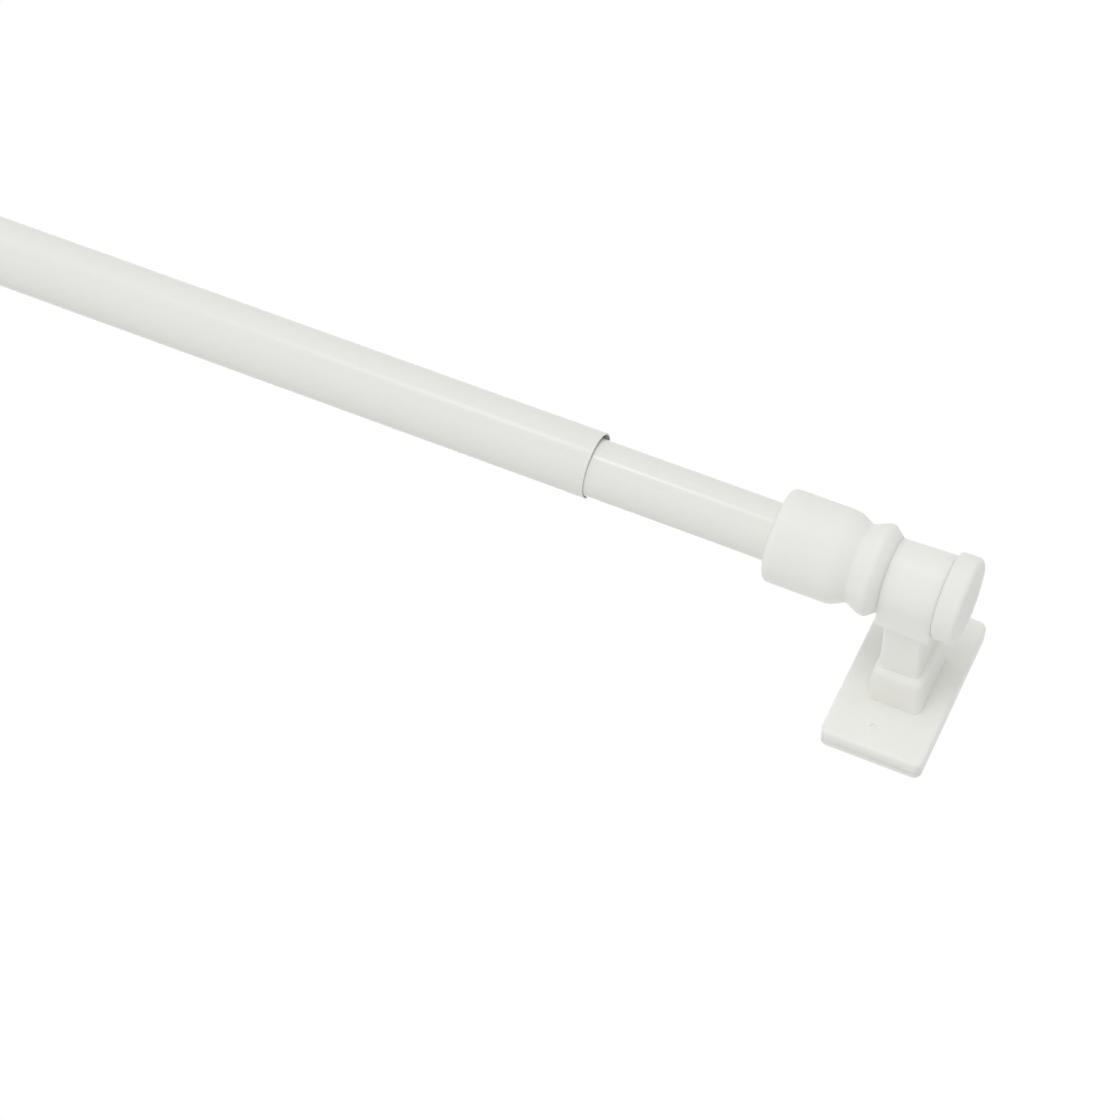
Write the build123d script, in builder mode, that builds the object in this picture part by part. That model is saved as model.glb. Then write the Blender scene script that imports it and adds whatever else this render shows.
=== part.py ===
"""Cafe curtain rod: two telescoping tubes with a swivelling adhesive bracket at each end.

+X runs along the rod, from the bracket of the wide tube to the bracket of the narrow tube.
+Y points into the wall or window frame, and +Z is up. The origin is the middle of the first
bracket's adhesive face. All sizes are in millimetres.
"""

from build123d import *

import os
from math import sqrt

# Lengths of the whole rod, over the faces of its end buttons
closed_length = 300.0
open_length = 500.0

# How much of the narrow tube shows between the wide tube and the collar
shown_at_rest = 31.2
shown_when_closed = 0.5

# Tubes
wide_radius = 5.5
narrow_radius = 4.8
tube_wall = 0.25
edge_break = 0.06
tube_overlap_left_open = 36.0

# The narrow tube rests on the bottom of the wide tube's bore, so its axis lies lower
droop = 0.35

# Distance from the rod's axis to the surface that the brackets are stuck on
standoff = 28.5

# Clearances: free running, push fit and the squeeze of a pressed plug
running_gap = 0.05
push_gap = 0.05
press_squeeze = 0.05

# Stations along the rod, from the middle of a bracket, with outward as positive
collar_mouth = -23.35
bead_face = -4.55
head_half = 4.5
button_inner = 4.6
button_outer = 8.45

# End cap: collar, groove, bead and spindle, by distance from the collar's mouth
collar_radius = 7.65
collar_straight = 11.15
groove_at = 13.65
groove_radius = 6.4
crest_start = 16.15
crest_end = 17.0
crest_radius = 7.5
bead_face_radius = 6.0
collar_mouth_round = 0.9
collar_end_round = 5.0
groove_round = 0.7
crest_round = 1.2
socket_depth = 10.5
socket_lead = 0.3
spindle_radius = 3.95
spindle_bore = 2.5

# End button and its plug
button_radius = 7.1
button_rim_outer_round = 1.0
button_rim_inner_round = 0.7
dish_radius = 4.6
dish_depth = 0.25
plug_length = 6.0
plug_chamfer = 0.4

# Bracket: head round the spindle, post, block and plate
head_radius_inner = 6.0
head_radius_outer = 6.3
head_skirt = 5.3
head_inner_edge_round = 0.05
head_outer_edge_round = 0.3
post_half_width = 3.2
post_half_depth = 4.85
post_edge_round = 0.5
post_foot_half_width = 3.35
post_flare_height = 5.0
post_root = 0.8
block_height = 7.3
block_shift = 0.25
block_foot_half_width = 4.6
block_foot_half_depth = 6.35
block_top_half_width = 4.1
block_top_half_depth = 6.0
block_side_round = 1.15
block_top_round = 1.1
plate_length = 30.7
plate_width = 17.2
plate_thickness = 2.6
plate_corner = 1.4
plate_edge_round = 0.6
dimple_radius = 0.6
dimple_depth = 0.25
dimple_along = -0.95
dimple_up = -11.15

# Foam pad on the back of the plate
pad_thickness = 1.0
pad_inset = 0.1

# Glide plug in the hidden end of the narrow tube
glide_radius = 4.85
glide_length = 6.0
glide_bore = 2.4
glide_chamfer = 0.4
lip_radius = 3.7
lip_length = 0.5
barb_radius = 4.1
barb_length = 2.6
barb_chamfer = 0.9

# Places along X that follow from the lengths
button_span = 2 * button_outer
closing_travel = shown_at_rest - shown_when_closed
rest_length = closed_length + closing_travel
opening_travel = open_length - rest_length
right_centre = rest_length - button_span
wide_start = -collar_mouth - socket_depth
wide_end = right_centre + collar_mouth - shown_at_rest
narrow_end = right_centre + collar_mouth + socket_depth
narrow_start = wide_end - tube_overlap_left_open - opening_travel

# Planes through the two tubes' axes, with X along the tube and Y as the radius
wide_plane = Plane.XZ.offset(standoff)
narrow_plane = Plane((0, -standoff, -droop), x_dir=(1, 0, 0), z_dir=(0, -1, 0))


def turning_axis(plane):
    return Axis(plane.origin, plane.x_dir)


def corner(sketch, x, radius):
    """The vertex of a turned profile that lies nearest to the station x and the radius."""
    return sketch.vertices().sort_by_distance((x, radius, 0))[0]


def tube(plane, radius, start, end, lip=None):
    """A straight drawn tube. A lip is its start rolled in to hold a bush."""
    inside = radius - tube_wall
    with BuildPart() as piece:
        with BuildSketch(plane):
            with BuildLine():
                if lip is None:
                    Polyline(
                        (start, inside), (start, radius), (end, radius), (end, inside), close=True
                    )
                else:
                    Polyline(
                        (start, lip),
                        (start, radius - tube_wall),
                        (start + tube_wall, radius),
                        (end, radius),
                        (end, inside),
                        (start + lip_length, inside),
                        (start + lip_length, lip),
                        close=True,
                    )
            make_face()
        revolve(axis=turning_axis(plane))
        cut_end = piece.faces().filter_by(Axis.X).sort_by(Axis.X)[-1]
        chamfer(cut_end.edges(), edge_break)
        if lip is None:
            hidden_end = piece.faces().filter_by(Axis.X).sort_by(Axis.X)[0]
            chamfer(hidden_end.edges(), edge_break)
    return piece


def end_cap(plane, centre, outward, tube_radius):
    """One turned plastic cap: a collar for the tube, a groove, a bead and a hollow spindle."""

    def station(from_mouth):
        return centre + outward * (collar_mouth + from_mouth)

    bore = tube_radius + push_gap
    bead_end = bead_face - collar_mouth
    spindle_end = button_inner - collar_mouth
    with BuildPart() as piece:
        with BuildSketch(plane) as profile:
            with BuildLine():
                Polyline(
                    (station(0), bore + socket_lead),
                    (station(0), collar_radius),
                    (station(collar_straight), collar_radius),
                    (station(groove_at), groove_radius),
                    (station(crest_start), crest_radius),
                    (station(crest_end), crest_radius),
                    (station(bead_end), bead_face_radius),
                    (station(bead_end), spindle_radius),
                    (station(spindle_end), spindle_radius),
                    (station(spindle_end), spindle_bore),
                    (station(socket_depth), spindle_bore),
                    (station(socket_depth), bore),
                    (station(socket_lead), bore),
                    close=True,
                )
            make_face()
            fillet(corner(profile, station(0), collar_radius), collar_mouth_round)
            fillet(corner(profile, station(collar_straight), collar_radius), collar_end_round)
            fillet(corner(profile, station(groove_at), groove_radius), groove_round)
            fillet(corner(profile, station(crest_start), crest_radius), crest_round)
            fillet(corner(profile, station(crest_end), crest_radius), crest_round)
        revolve(axis=turning_axis(plane))
    return piece


def end_button(plane, centre, outward):
    """A round button that covers the spindle's end, with a plug pressed into the spindle."""
    inner = centre + outward * button_inner
    outer = centre + outward * button_outer
    plug_tip = centre + outward * (button_inner - plug_length)
    plug_radius = spindle_bore + press_squeeze
    with BuildPart() as piece:
        with BuildSketch(plane) as profile:
            with BuildLine():
                Polyline(
                    (plug_tip, 0),
                    (plug_tip, plug_radius - plug_chamfer),
                    (plug_tip + outward * plug_chamfer, plug_radius),
                    (inner, plug_radius),
                    (inner, button_radius),
                    (outer, button_radius),
                    (outer, dish_radius),
                    (outer - outward * dish_depth, 0),
                    close=True,
                )
            make_face()
            fillet(corner(profile, inner, button_radius), button_rim_inner_round)
            fillet(corner(profile, outer, button_radius), button_rim_outer_round)
        revolve(axis=turning_axis(plane))
    return piece


def bracket(centre, height, outward):
    """One moulding: a head bored for the spindle, on a flared post, a block and a plate.

    The left bracket is the same moulding as the right one, turned half a turn about Y.
    """
    plate_back = -pad_thickness
    plate_front = plate_back - plate_thickness
    block_top = plate_front - block_height
    head_back = -standoff + head_skirt
    flare_start = block_top - post_flare_height
    flare = post_foot_half_width - post_half_width
    flare_radius = (post_flare_height**2 + flare**2) / (2 * flare)
    mid_rise = post_flare_height / 2
    mid_flare = flare_radius - sqrt(flare_radius**2 - mid_rise**2)
    # Post, whose two narrow sides flare towards the block
    with BuildPart() as post:
        with BuildSketch(Plane.XY.offset(height)):
            with BuildLine():
                Line(
                    (centre - post_foot_half_width, block_top + post_root),
                    (centre + post_foot_half_width, block_top + post_root),
                )
                for side in (-1, 1):
                    Line(
                        (centre + side * post_foot_half_width, block_top + post_root),
                        (centre + side * post_foot_half_width, block_top),
                    )
                    ThreePointArc(
                        (centre + side * post_foot_half_width, block_top),
                        (centre + side * (post_half_width + mid_flare), block_top - mid_rise),
                        (centre + side * post_half_width, flare_start),
                    )
                    Line(
                        (centre + side * post_half_width, flare_start),
                        (centre + side * post_half_width, head_back),
                    )
                Line(
                    (centre - post_half_width, head_back),
                    (centre + post_half_width, head_back),
                )
            make_face()
        extrude(amount=post_half_depth, both=True)
        broad_faces = post.faces().filter_by(Axis.Z)
        fillet(broad_faces.edges().filter_by(Axis.X, reverse=True), post_edge_round)
    # Head, half round at the front and slightly larger towards the button
    with BuildPart() as head:
        for reach, radius in ((-head_half, head_radius_inner), (head_half, head_radius_outer)):
            with BuildSketch(Plane.YZ.offset(centre + outward * reach)):
                low, high = height - radius, height + radius
                with BuildLine():
                    Polyline((-standoff, low), (head_back, low), (head_back, high), (-standoff, high))
                    ThreePointArc((-standoff, high), (-standoff - radius, height), (-standoff, low))
                make_face()
        loft()
        bead_side, button_side = head.faces().filter_by(Axis.X).sort_by(Axis.X)[::outward]
        fillet(bead_side.edges(), head_inner_edge_round)
        fillet(button_side.edges(), head_outer_edge_round)
    with BuildPart() as piece:
        # Plate
        with BuildSketch(Plane.XZ.offset(-plate_back)):
            with Locations((centre, height)):
                RectangleRounded(plate_width, plate_length, plate_corner)
        extrude(amount=plate_thickness)
        fillet(piece.faces().sort_by(Axis.Y)[0].edges(), plate_edge_round)
        # Block, drafted from its foot to its top
        for level, half_width, half_depth in (
            (plate_front, block_foot_half_width, block_foot_half_depth),
            (block_top, block_top_half_width, block_top_half_depth),
        ):
            with BuildSketch(Plane.XZ.offset(-level)):
                with Locations((centre + outward * block_shift, height)):
                    Rectangle(2 * half_width, 2 * half_depth)
        loft()
        standing_edges = piece.edges().filter_by(Axis.X, reverse=True).filter_by(Axis.Z, reverse=True)
        fillet(standing_edges.sort_by(SortBy.LENGTH)[-4:], block_side_round)
        fillet(piece.faces().filter_by(Axis.Y).sort_by(Axis.Y)[0].edges(), block_top_round)
        add(post.part)
        add(head.part)
        # Bore for the spindle
        with BuildSketch(Plane.YZ.offset(centre)):
            with Locations((-standoff, height)):
                Circle(spindle_radius + running_gap)
        extrude(amount=2 * head_half, both=True, mode=Mode.SUBTRACT)
        # Gate mark on the plate
        with BuildSketch(Plane.XZ.offset(-plate_front)):
            with Locations((centre + outward * dimple_along, height + outward * dimple_up)):
                Circle(dimple_radius)
        extrude(amount=-dimple_depth, mode=Mode.SUBTRACT)
    return piece


def foam_pad(centre, height):
    """Double-sided foam stuck on the back of a plate. Its free face lies at Y = 0."""
    with BuildPart() as piece:
        with BuildSketch(Plane.XZ):
            with Locations((centre, height)):
                RectangleRounded(
                    plate_width - 2 * pad_inset, plate_length - 2 * pad_inset, plate_corner - pad_inset
                )
        extrude(amount=pad_thickness)
    return piece


def glide_plug(plane):
    """A bored plug that slides in the wide tube and snaps behind the narrow tube's lip."""
    neck_start = narrow_start - running_gap
    barb_start = narrow_start + lip_length + running_gap
    glide_start = neck_start - glide_length
    with BuildPart() as piece:
        with BuildSketch(plane) as profile:
            with BuildLine():
                Polyline(
                    (glide_start, glide_bore),
                    (glide_start, glide_radius),
                    (neck_start, glide_radius),
                    (neck_start, lip_radius - running_gap),
                    (barb_start, lip_radius - running_gap),
                    (barb_start, barb_radius),
                    (barb_start + barb_length - barb_chamfer, barb_radius),
                    (barb_start + barb_length, barb_radius - barb_chamfer),
                    (barb_start + barb_length, glide_bore),
                    close=True,
                )
            make_face()
            chamfer(corner(profile, glide_start, glide_radius), glide_chamfer)
            chamfer(corner(profile, neck_start, glide_radius), glide_chamfer)
        revolve(axis=turning_axis(plane))
    return piece


pieces = {
    "wide_tube": tube(wide_plane, wide_radius, wide_start, wide_end),
    "narrow_tube": tube(narrow_plane, narrow_radius, narrow_start, narrow_end, lip=lip_radius),
    "glide_plug": glide_plug(narrow_plane),
}
for side, plane, centre, outward, radius in (
    ("left", wide_plane, 0.0, -1, wide_radius),
    ("right", narrow_plane, right_centre, 1, narrow_radius),
):
    height = plane.origin.Z
    pieces[f"{side}_cap"] = end_cap(plane, centre, outward, radius)
    pieces[f"{side}_button"] = end_button(plane, centre, outward)
    pieces[f"{side}_bracket"] = bracket(centre, height, outward)
    pieces[f"{side}_pad"] = foam_pad(centre, height)

os.makedirs("parts", exist_ok=True)
for name, piece in pieces.items():
    piece.part.label = name
    export_step(piece.part, f"parts/{name}.step")

print(f"rest length {rest_length:.1f}, slide from -{closing_travel:.1f} to {opening_travel:.1f}")
print(f"wide tube {wide_start:.1f} to {wide_end:.1f}, narrow tube {narrow_start:.1f} to {narrow_end:.1f}")
print(f"right bracket's middle at {right_centre:.1f}")
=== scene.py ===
import math

import bmesh
import bpy
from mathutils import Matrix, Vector


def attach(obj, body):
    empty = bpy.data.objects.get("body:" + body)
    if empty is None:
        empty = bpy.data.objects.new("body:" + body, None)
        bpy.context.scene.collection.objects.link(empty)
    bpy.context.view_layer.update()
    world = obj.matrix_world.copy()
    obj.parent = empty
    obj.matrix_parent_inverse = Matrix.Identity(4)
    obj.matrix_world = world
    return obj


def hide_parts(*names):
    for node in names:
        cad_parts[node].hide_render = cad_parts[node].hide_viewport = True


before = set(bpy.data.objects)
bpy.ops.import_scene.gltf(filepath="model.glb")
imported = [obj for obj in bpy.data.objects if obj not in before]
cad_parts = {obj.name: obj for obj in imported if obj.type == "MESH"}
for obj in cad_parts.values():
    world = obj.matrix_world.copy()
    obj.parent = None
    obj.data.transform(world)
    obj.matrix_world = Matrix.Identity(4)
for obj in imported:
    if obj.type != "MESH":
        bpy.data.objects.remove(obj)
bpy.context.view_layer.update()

MM = 0.001


# ---- Wide tube ----
# The rod's outer tube: steel 0.25 mm thick, 11 mm across, lacquered white outside and on its cut
# edges and left bare inside. Its hidden end sits in the left cap and its mouth is sawn off square,
# so the bare bore shows as a thin dark line round the narrow tube.
standoff = 28.5
tube_wall = 0.25
wide_radius = 5.5
wide_start, wide_end = 12.85, 259.25
cut_round = 0.06
edge_skin = 0.02
lacquer_light, lacquer_shade = (0.880, 0.886, 0.842), (0.862, 0.868, 0.824)
steel_dark, steel_light = (0.62, 0.62, 0.59), (0.74, 0.74, 0.71)

wide_bore = wide_radius - tube_wall


class Tone:
    """One value of a finish. Python arithmetic on it adds Math nodes to the finish."""

    def __init__(self, finish, socket):
        self.finish, self.socket = finish, socket

    def _math(self, operation, first, second):
        return self.finish.node("ShaderNodeMath", {"operation": operation}, {0: first, 1: second})

    def __add__(self, other):
        return self._math("ADD", self, other)

    def __radd__(self, other):
        return self._math("ADD", other, self)

    def __mul__(self, other):
        return self._math("MULTIPLY", self, other)

    def __rmul__(self, other):
        return self._math("MULTIPLY", other, self)


class Finish:
    """A procedural finish, built node by node round one Principled shader."""

    def __init__(self, name):
        self.material = bpy.data.materials.new(name)
        self.material.use_nodes = True
        self.tree = self.material.node_tree
        self.shader = self.tree.nodes["Principled BSDF"]

    def node(self, kind, settings=None, inputs=None, output=0):
        """Adds a node: its settings are set first, then the values or links of its sockets."""
        made = self.tree.nodes.new(kind)
        for key, value in (settings or {}).items():
            setattr(made, key, value)
        for key, value in (inputs or {}).items():
            if isinstance(value, Tone):
                self.tree.links.new(value.socket, made.inputs[key])
            else:
                made.inputs[key].default_value = value
        return Tone(self, made.outputs[output])

    def place(self, stretch=(1, 1, 1)):
        """A point of the piece in metres, stretched so that a pattern runs along one way."""
        here = self.node("ShaderNodeTexCoord", output="Object")
        return self.node("ShaderNodeMapping", None, {"Vector": here, "Scale": stretch})

    def mottle(self, size, stretch=(1, 1, 1), detail=2.0, roughness=0.5):
        """Soft noise between 0 and 1 whose patches are about size metres across."""
        return self.node(
            "ShaderNodeTexNoise",
            None,
            {
                "Vector": self.place(stretch),
                "Scale": 1 / size,
                "Detail": detail,
                "Roughness": roughness,
            },
        )

    def blend(self, share, plain, other):
        """A colour between two, each fixed or a value of the finish, by a share from 0 to 1."""
        first, second = (
            colour if isinstance(colour, Tone) else (*colour, 1) for colour in (plain, other)
        )
        return self.node(
            "ShaderNodeMix",
            {"data_type": "RGBA"},
            {"Factor": share, "A": first, "B": second},
            output="Result",
        )

    def relief(self, height, depth, strength):
        """Fine relief of a given depth in metres."""
        return self.node(
            "ShaderNodeBump", None, {"Height": height, "Distance": depth, "Strength": strength}
        )

    def wear(self, **sockets):
        """Sets the shader's own sockets, named with underscores for spaces."""
        for key, value in sockets.items():
            socket = self.shader.inputs[key.replace("_", " ")]
            if isinstance(value, Tone):
                self.tree.links.new(value.socket, socket)
            else:
                socket.default_value = value
        return self.material


def rounded(outline):
    """Corners of an outline, given as (x, radius) or (x, radius, rounding), with arcs put in."""
    arc_steps = 8
    points = []
    for index, corner in enumerate(outline):
        here = Vector(corner[:2])
        if len(corner) == 2:
            points.append(here)
            continue
        rounding = corner[2]
        before = (Vector(outline[index - 1][:2]) - here).normalized()
        after = (Vector(outline[(index + 1) % len(outline)][:2]) - here).normalized()
        half_turn = before.angle(after) / 2
        reach = rounding / math.tan(half_turn)
        centre = here + (before + after).normalized() * (rounding / math.sin(half_turn))
        start = (here + before * reach - centre).normalized()
        stop = (here + after * reach - centre).normalized()
        for step in range(arc_steps + 1):
            points.append(centre + start.slerp(stop, step / arc_steps) * rounding)
    return points


def turned(name, outline, axis_height=0.0, sides=144, longest_step=9.0):
    """A round piece, turned about the rod's axis from a closed outline in millimetres."""
    merge_reach = 0.0005 * MM
    corners = rounded(outline)
    points = []
    for index, here in enumerate(corners):
        after = corners[(index + 1) % len(corners)]
        pieces = max(1, math.ceil((after - here).length / longest_step))
        points += [here.lerp(after, step / pieces) for step in range(pieces)]
    shape = bmesh.new()
    rings = []
    for side in range(sides):
        angle = 2 * math.pi * side / sides
        rings.append(
            [
                shape.verts.new(
                    (
                        x * MM,
                        (-standoff + radius * math.cos(angle)) * MM,
                        (axis_height + radius * math.sin(angle)) * MM,
                    )
                )
                for x, radius in points
            ]
        )
    for side in range(sides):
        ring, following = rings[side], rings[(side + 1) % sides]
        for index in range(len(points)):
            after = (index + 1) % len(points)
            if points[index].y > 0 or points[after].y > 0:
                shape.faces.new((ring[index], ring[after], following[after], following[index]))
    bmesh.ops.remove_doubles(shape, verts=shape.verts, dist=merge_reach)
    bmesh.ops.recalc_face_normals(shape, faces=shape.faces)
    return solid_from(name, shape)


def solid_from(name, shape):
    """The finished object of a mesh, smooth but for edges that turn by more than the crease."""
    crease = math.radians(32)
    mesh = bpy.data.meshes.new(name)
    shape.to_mesh(mesh)
    shape.free()
    mesh.polygons.foreach_set("use_smooth", [True] * len(mesh.polygons))
    mesh.set_sharp_from_angle(angle=crease)
    piece = bpy.data.objects.new(name, mesh)
    bpy.context.scene.collection.objects.link(piece)
    return piece


wide_tube = turned(
    "wide_tube_lacquered",
    [
        (wide_start, wide_bore),
        (wide_start, wide_radius, cut_round),
        (wide_end, wide_radius, cut_round),
        (wide_end, wide_bore, cut_round / 2),
    ],
    sides=192,
)


def lacquer(name, axis_height, bore, cut_at, polish):
    """White lacquer over steel. Inside the bore, as far as the cut, the steel is bare."""
    coat = Finish(name)
    drawn_lines = coat.mottle(0.9 * MM, stretch=(0.03, 1, 1), detail=3)
    clouds = coat.mottle(22 * MM, stretch=(0.35, 1, 1), detail=2)
    orange_peel = coat.mottle(1.1 * MM, detail=1.5)
    # Distance from the tube's own axis, in metres, and along it
    here = coat.node("ShaderNodeTexCoord", output="Object")
    across = coat.node(
        "ShaderNodeVectorMath",
        {"operation": "MULTIPLY_ADD"},
        {0: here, 1: (0, 1, 1), 2: (0, standoff * MM, -axis_height * MM)},
    )
    radius = coat.node("ShaderNodeVectorMath", {"operation": "LENGTH"}, {0: across}, output="Value")
    along = coat.node("ShaderNodeSeparateXYZ", None, {0: here}, output="X")
    in_bore, before_cut = (
        coat.node("ShaderNodeMath", {"operation": "LESS_THAN"}, {0: value, 1: limit * MM})
        for value, limit in ((radius, bore + edge_skin), (along, cut_at - edge_skin))
    )
    bare = in_bore * before_cut
    white = coat.blend(clouds, lacquer_light, lacquer_shade)
    steel = coat.blend(drawn_lines, steel_dark, steel_light)
    return coat.wear(
        Base_Color=coat.blend(bare, white, steel),
        Metallic=bare * 0.25,
        Roughness=polish + 0.04 * clouds + 0.04 * drawn_lines + 0.2 * bare,
        Specular_IOR_Level=0.4,
        Normal=coat.relief(orange_peel * 0.6 + drawn_lines * 0.4, depth=0.004 * MM, strength=0.6),
    )


wide_tube.data.materials.append(
    lacquer("lacquer_wide", axis_height=0.0, bore=wide_bore, cut_at=wide_end, polish=0.21)
)
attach(wide_tube, "wide_half")
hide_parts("wide_tube")


# ---- Narrow tube ----
# The inner tube, of the same steel and lacquered too. It rests on the bottom of the wide tube's
# bore, so the gap round it is widest at the top. Its hidden end is rolled in to hold the glide.
droop = 0.35
narrow_radius = 4.8
narrow_start, narrow_end = 53.95, 300.95
lip_radius, lip_length, lip_round = 3.7, 0.5, 0.22

narrow_bore = narrow_radius - tube_wall
narrow_tube = turned(
    "narrow_tube_lacquered",
    [
        (narrow_start, lip_radius),
        (narrow_start, narrow_radius, lip_round),
        (narrow_end, narrow_radius, cut_round),
        (narrow_end, narrow_bore),
        (narrow_start + lip_length, narrow_bore),
        (narrow_start + lip_length, lip_radius),
    ],
    axis_height=-droop,
    sides=176,
)
narrow_tube.data.materials.append(
    lacquer("lacquer_narrow", axis_height=-droop, bore=narrow_bore, cut_at=narrow_end, polish=0.15)
)
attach(narrow_tube, "narrow_half")
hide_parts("narrow_tube")


# ---- Glide ----
# A bored plastic plug snapped into the narrow tube's rolled end. It carries the narrow tube in the
# wide one and lets it slide and twist without metal rubbing on metal.
glide_radius, glide_bore, glide_length, glide_chamfer = 4.85, 2.4, 6.0, 0.4
glide_neck, glide_gap = 3.65, 0.05
barb_radius, barb_length, barb_chamfer = 4.1, 2.6, 0.9
glide_round = 0.2

neck_start = narrow_start - glide_gap
barb_start = narrow_start + lip_length + glide_gap
barb_end = barb_start + barb_length
glide = turned(
    "glide_plug_moulded",
    [
        (neck_start - glide_length, glide_bore),
        (neck_start - glide_length, glide_radius - glide_chamfer, glide_round),
        (neck_start - glide_length + glide_chamfer, glide_radius, glide_round),
        (neck_start - glide_chamfer, glide_radius, glide_round),
        (neck_start, glide_radius - glide_chamfer, glide_round / 2),
        (neck_start, glide_neck),
        (barb_start, glide_neck),
        (barb_start, barb_radius),
        (barb_end - barb_chamfer, barb_radius, glide_round),
        (barb_end, barb_radius - barb_chamfer),
        (barb_end, glide_bore),
    ],
    axis_height=-droop,
    sides=96,
)


def satin_plastic(name, light, shade, polish=0.36):
    """Moulded white plastic with a satin skin, slightly milky where it is thin."""
    skin = Finish(name)
    clouds = skin.mottle(9 * MM, detail=3)
    spark = skin.mottle(0.35 * MM, detail=2, roughness=0.6)
    swirl = skin.mottle(3 * MM, stretch=(1, 0.4, 0.4), detail=2)
    return skin.wear(
        Base_Color=skin.blend(clouds * 0.7 + swirl * 0.3, light, shade),
        Roughness=polish + 0.10 * swirl + 0.05 * spark,
        Specular_IOR_Level=0.4,
        Normal=skin.relief(spark * 0.7 + swirl * 0.3, depth=0.010 * MM, strength=0.8),
        Subsurface_Weight=0.45,
        Subsurface_Radius=(1.0, 0.95, 0.85),
        Subsurface_Scale=2.2 * MM,
    )


glide.data.materials.append(
    satin_plastic("plain_glide_plastic", (0.86, 0.87, 0.86), (0.83, 0.84, 0.83))
)
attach(glide, "glide")
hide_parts("glide_plug")


# ---- End caps ----
# One hollow turned-looking moulding at each end: a collar that the tube is pushed into, a groove
# and a bead for looks, and a hollow spindle that turns in the bracket's head.
collar_mouth, collar_radius, collar_straight = -23.35, 7.65, 11.15
mouth_round, shoulder_round = 0.9, 5.0
groove_at, groove_radius, groove_round = 13.65, 6.4, 0.7
crest_start, crest_end, crest_radius, crest_round = 16.15, 17.0, 7.5, 1.2
bead_face, bead_face_radius = -4.505, 6.0
spindle_end, spindle_radius, spindle_bore, spindle_round = 4.6, 3.95, 2.5, 0.1
socket_depth, socket_lead, socket_round, push_gap = 10.5, 0.3, 0.12, 0.05
right_centre = 313.8
# Side, bracket's middle, way out along X, axis height, tube's radius and the body it rides
rod_ends = (
    ("left", 0.0, -1, 0.0, wide_radius, "wide_half"),
    ("right", right_centre, 1, -droop, narrow_radius, "narrow_half"),
)

cap_plastic = satin_plastic("satin_cap_plastic", (0.915, 0.921, 0.876), (0.898, 0.904, 0.858))
for side, centre, outward, height, tube_radius, rod_body in rod_ends:
    mouth = centre + outward * collar_mouth
    socket = tube_radius + push_gap
    cap = turned(
        f"{side}_cap_moulded",
        [
            (mouth, socket + socket_lead, socket_round),
            (mouth, collar_radius, mouth_round),
            (mouth + outward * collar_straight, collar_radius, shoulder_round),
            (mouth + outward * groove_at, groove_radius, groove_round),
            (mouth + outward * crest_start, crest_radius, crest_round),
            (mouth + outward * crest_end, crest_radius, crest_round),
            (centre + outward * bead_face, bead_face_radius),
            (centre + outward * bead_face, spindle_radius),
            (centre + outward * spindle_end, spindle_radius, spindle_round),
            (centre + outward * spindle_end, spindle_bore),
            (mouth + outward * socket_depth, spindle_bore),
            (mouth + outward * socket_depth, socket),
            (mouth + outward * socket_lead, socket),
        ],
        axis_height=height,
        sides=160,
        longest_step=2.5,
    )
    cap.data.materials.append(cap_plastic)
    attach(cap, rod_body)
    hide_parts(f"{side}_cap")


# ---- End buttons ----
# A round plastic button whose plug is pressed into the spindle. It keeps the spindle in the
# bracket's head. Its rim is well rounded and its face is very slightly dished.
button_inner, button_outer, button_radius = 4.505, 8.45, 7.1
inner_rim_round, outer_rim_round = 0.7, 1.0
dish_radius, dish_depth, dish_round = 4.6, 0.25, 3.0
plug_length, plug_radius, plug_chamfer = 6.0, 2.55, 0.4

button_plastic = satin_plastic("satin_button_plastic", (0.913, 0.919, 0.873), (0.896, 0.901, 0.855))
for side, centre, outward, height, _, rod_body in rod_ends:
    inner, outer = centre + outward * button_inner, centre + outward * button_outer
    tip = centre + outward * (button_inner - plug_length)
    button = turned(
        f"{side}_button_moulded",
        [
            (tip, 0),
            (tip, plug_radius - plug_chamfer),
            (tip + outward * plug_chamfer, plug_radius),
            (inner, plug_radius),
            (inner, button_radius, inner_rim_round),
            (outer, button_radius, outer_rim_round),
            (outer, dish_radius, dish_round),
            (outer - outward * dish_depth, 0),
        ],
        axis_height=height,
        sides=160,
        longest_step=1.5,
    )
    button.data.materials.append(button_plastic)
    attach(button, rod_body)
    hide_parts(f"{side}_button")


# ---- Brackets ----
# One plastic moulding at each end: a plate, a drafted block, a flared post and a head bored for
# the spindle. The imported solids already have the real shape, so they get the finish only.
bracket_plastic = satin_plastic(
    "satin_bracket_plastic", (0.950, 0.955, 0.897), (0.930, 0.935, 0.875), polish=0.24
)
for side in ("left", "right"):
    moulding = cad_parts[f"{side}_bracket"]
    moulding.data.materials.clear()
    moulding.data.materials.append(bracket_plastic)


# ---- Foam pads ----
# Double-sided foam tape stuck on the back of each plate, which holds the rod to the wall. Its cut
# edge shows fine cells.
foam = Finish("white_foam_tape")
cell_size = 0.32 * MM
cells = foam.node(
    "ShaderNodeTexVoronoi",
    None,
    {"Vector": foam.place(), "Scale": 1 / cell_size},
    output="Distance",
)
soiling = foam.mottle(6 * MM, detail=3)
foam.wear(
    Base_Color=foam.blend(soiling * 0.4 + cells * 0.6, (0.97, 0.97, 0.92), (0.90, 0.90, 0.85)),
    Roughness=0.85,
    Normal=foam.relief(cells * 0.8 + soiling * 0.2, depth=0.06 * MM, strength=0.8),
)
for side in ("left", "right"):
    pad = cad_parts[f"{side}_pad"]
    pad.data.materials.clear()
    pad.data.materials.append(foam.material)


# ---- Studio ----
# A white room with soft even light. A broad lamp in front shades the rod, a small one draws the
# thin gleam along the tubes, and two lamps behind light its underside and its back. The camera
# looks up along the rod from below its right end.
studio = bpy.context.scene
studio.view_settings.view_transform = "Standard"

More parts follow.
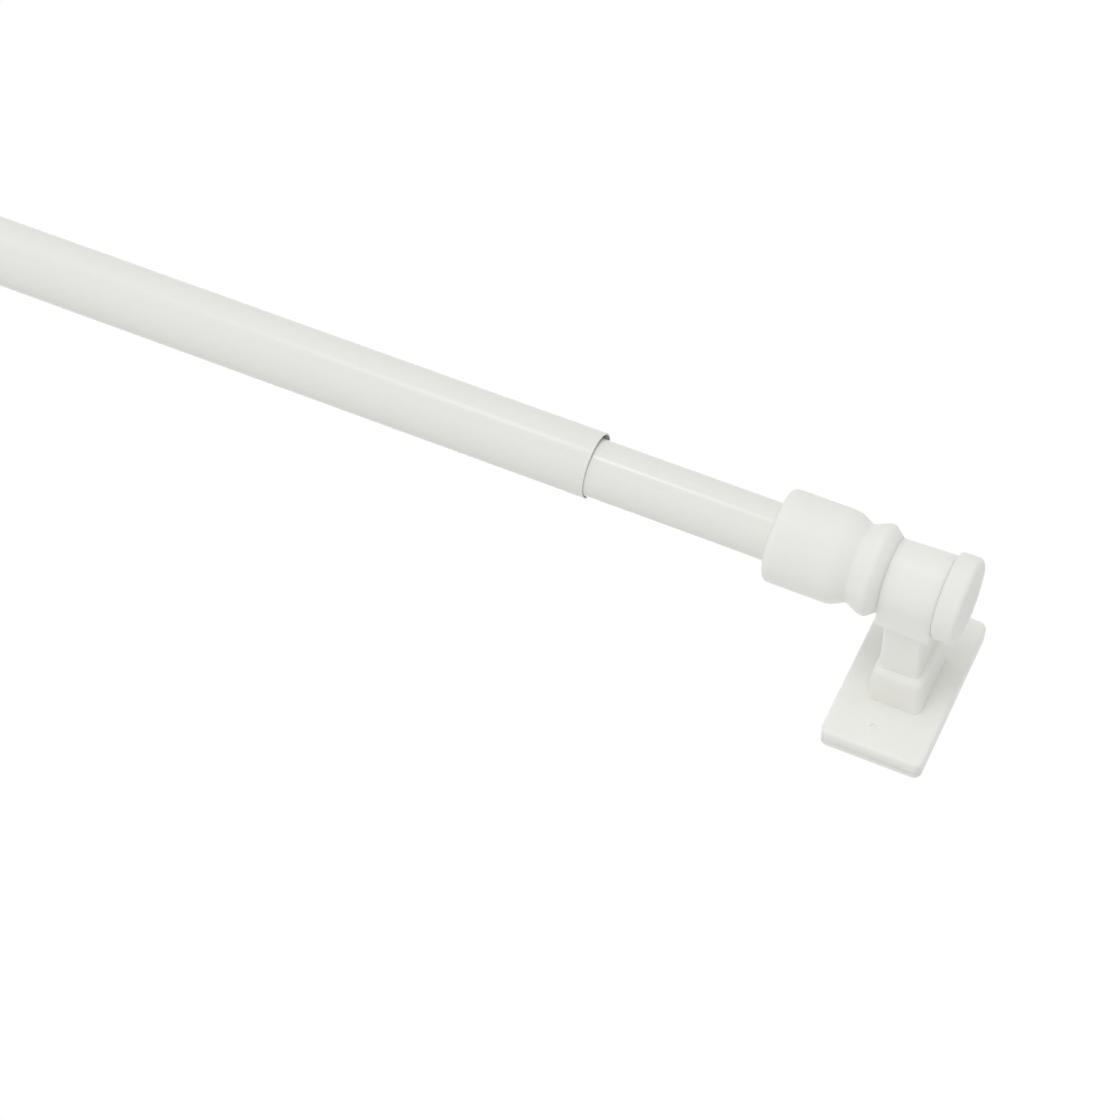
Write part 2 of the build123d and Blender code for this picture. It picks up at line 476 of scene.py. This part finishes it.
room = bpy.data.worlds.new("white_room")
room.use_nodes = True
studio.world = room
room_nodes = room.node_tree
backdrop = room_nodes.nodes["Background"]
seen = room_nodes.nodes.new("ShaderNodeLightPath")
ambient_level = 0.64
level = seen.outputs["Is Camera Ray"]
for ray in ("Is Glossy Ray", "Is Transmission Ray"):
    either = room_nodes.nodes.new("ShaderNodeMath")
    either.operation = "MAXIMUM"
    room_nodes.links.new(level, either.inputs[0])
    room_nodes.links.new(seen.outputs[ray], either.inputs[1])
    level = either.outputs[0]
strength = room_nodes.nodes.new("ShaderNodeMapRange")
strength.inputs["To Min"].default_value = ambient_level
strength.inputs["To Max"].default_value = 1.0
room_nodes.links.new(level, strength.inputs["Value"])
room_nodes.links.new(strength.outputs["Result"], backdrop.inputs["Strength"])
backdrop.inputs["Color"].default_value = (1, 1, 1, 1)

floor_width = 120.0
floor_centre = (0.15, 0, -0.75)
bpy.ops.mesh.primitive_plane_add(size=floor_width, location=floor_centre)
floor = bpy.context.object
floor.name = "studio_floor"
paper = Finish("pale_paper")
paper.wear(Base_Color=(0.9, 0.9, 0.9, 1), Roughness=0.9)
floor.data.materials.append(paper.material)

rod_middle = Vector((0.16, -standoff * MM, 0))


def lamp(name, direction, distance, size, power):
    """A square soft lamp aimed at the rod from a direction, in metres and watts, itself unseen."""
    light = bpy.data.lights.new(name, "AREA")
    light.shape = "SQUARE"
    light.size = size
    light.energy = power
    unit = bpy.data.objects.new(name, light)
    studio.collection.objects.link(unit)
    away = Vector(direction).normalized()
    unit.location = rod_middle + away * distance
    unit.rotation_mode = "QUATERNION"
    unit.rotation_quaternion = away.to_track_quat("Z", "Y")
    unit.visible_camera = False
    return unit


key = lamp("soft_front", (-0.05, -0.97, -0.24), distance=1.3, size=0.46, power=3.75)
key.visible_glossy = False
lamp("gleam", (-0.2, -1.0, 0.05), distance=1.3, size=0.2, power=0.85)
below = lamp("soft_below", (0, 0.75, -0.66), distance=0.65, size=0.66, power=0.58)
below.visible_glossy = False
lamp("soft_back", (-0.3, 0.8, 0.5), distance=1.3, size=0.6, power=1.6)

camera = bpy.data.objects.new("camera", bpy.data.cameras.new("camera"))
studio.collection.objects.link(camera)
camera.data.sensor_width = 36.0
camera.data.lens = 104.04
frame_pixels = 1120
half_pixel = 0.5 / frame_pixels
camera.data.shift_x, camera.data.shift_y = -half_pixel, half_pixel
camera.data.clip_start, camera.data.clip_end = 0.01, 20.0
camera.location = (0.385442, -0.431482, -0.288765)
camera.rotation_mode = "QUATERNION"
camera.rotation_quaternion = (0.4407977, 0.8718230, -0.0965810, 0.1905102)
studio.camera = camera
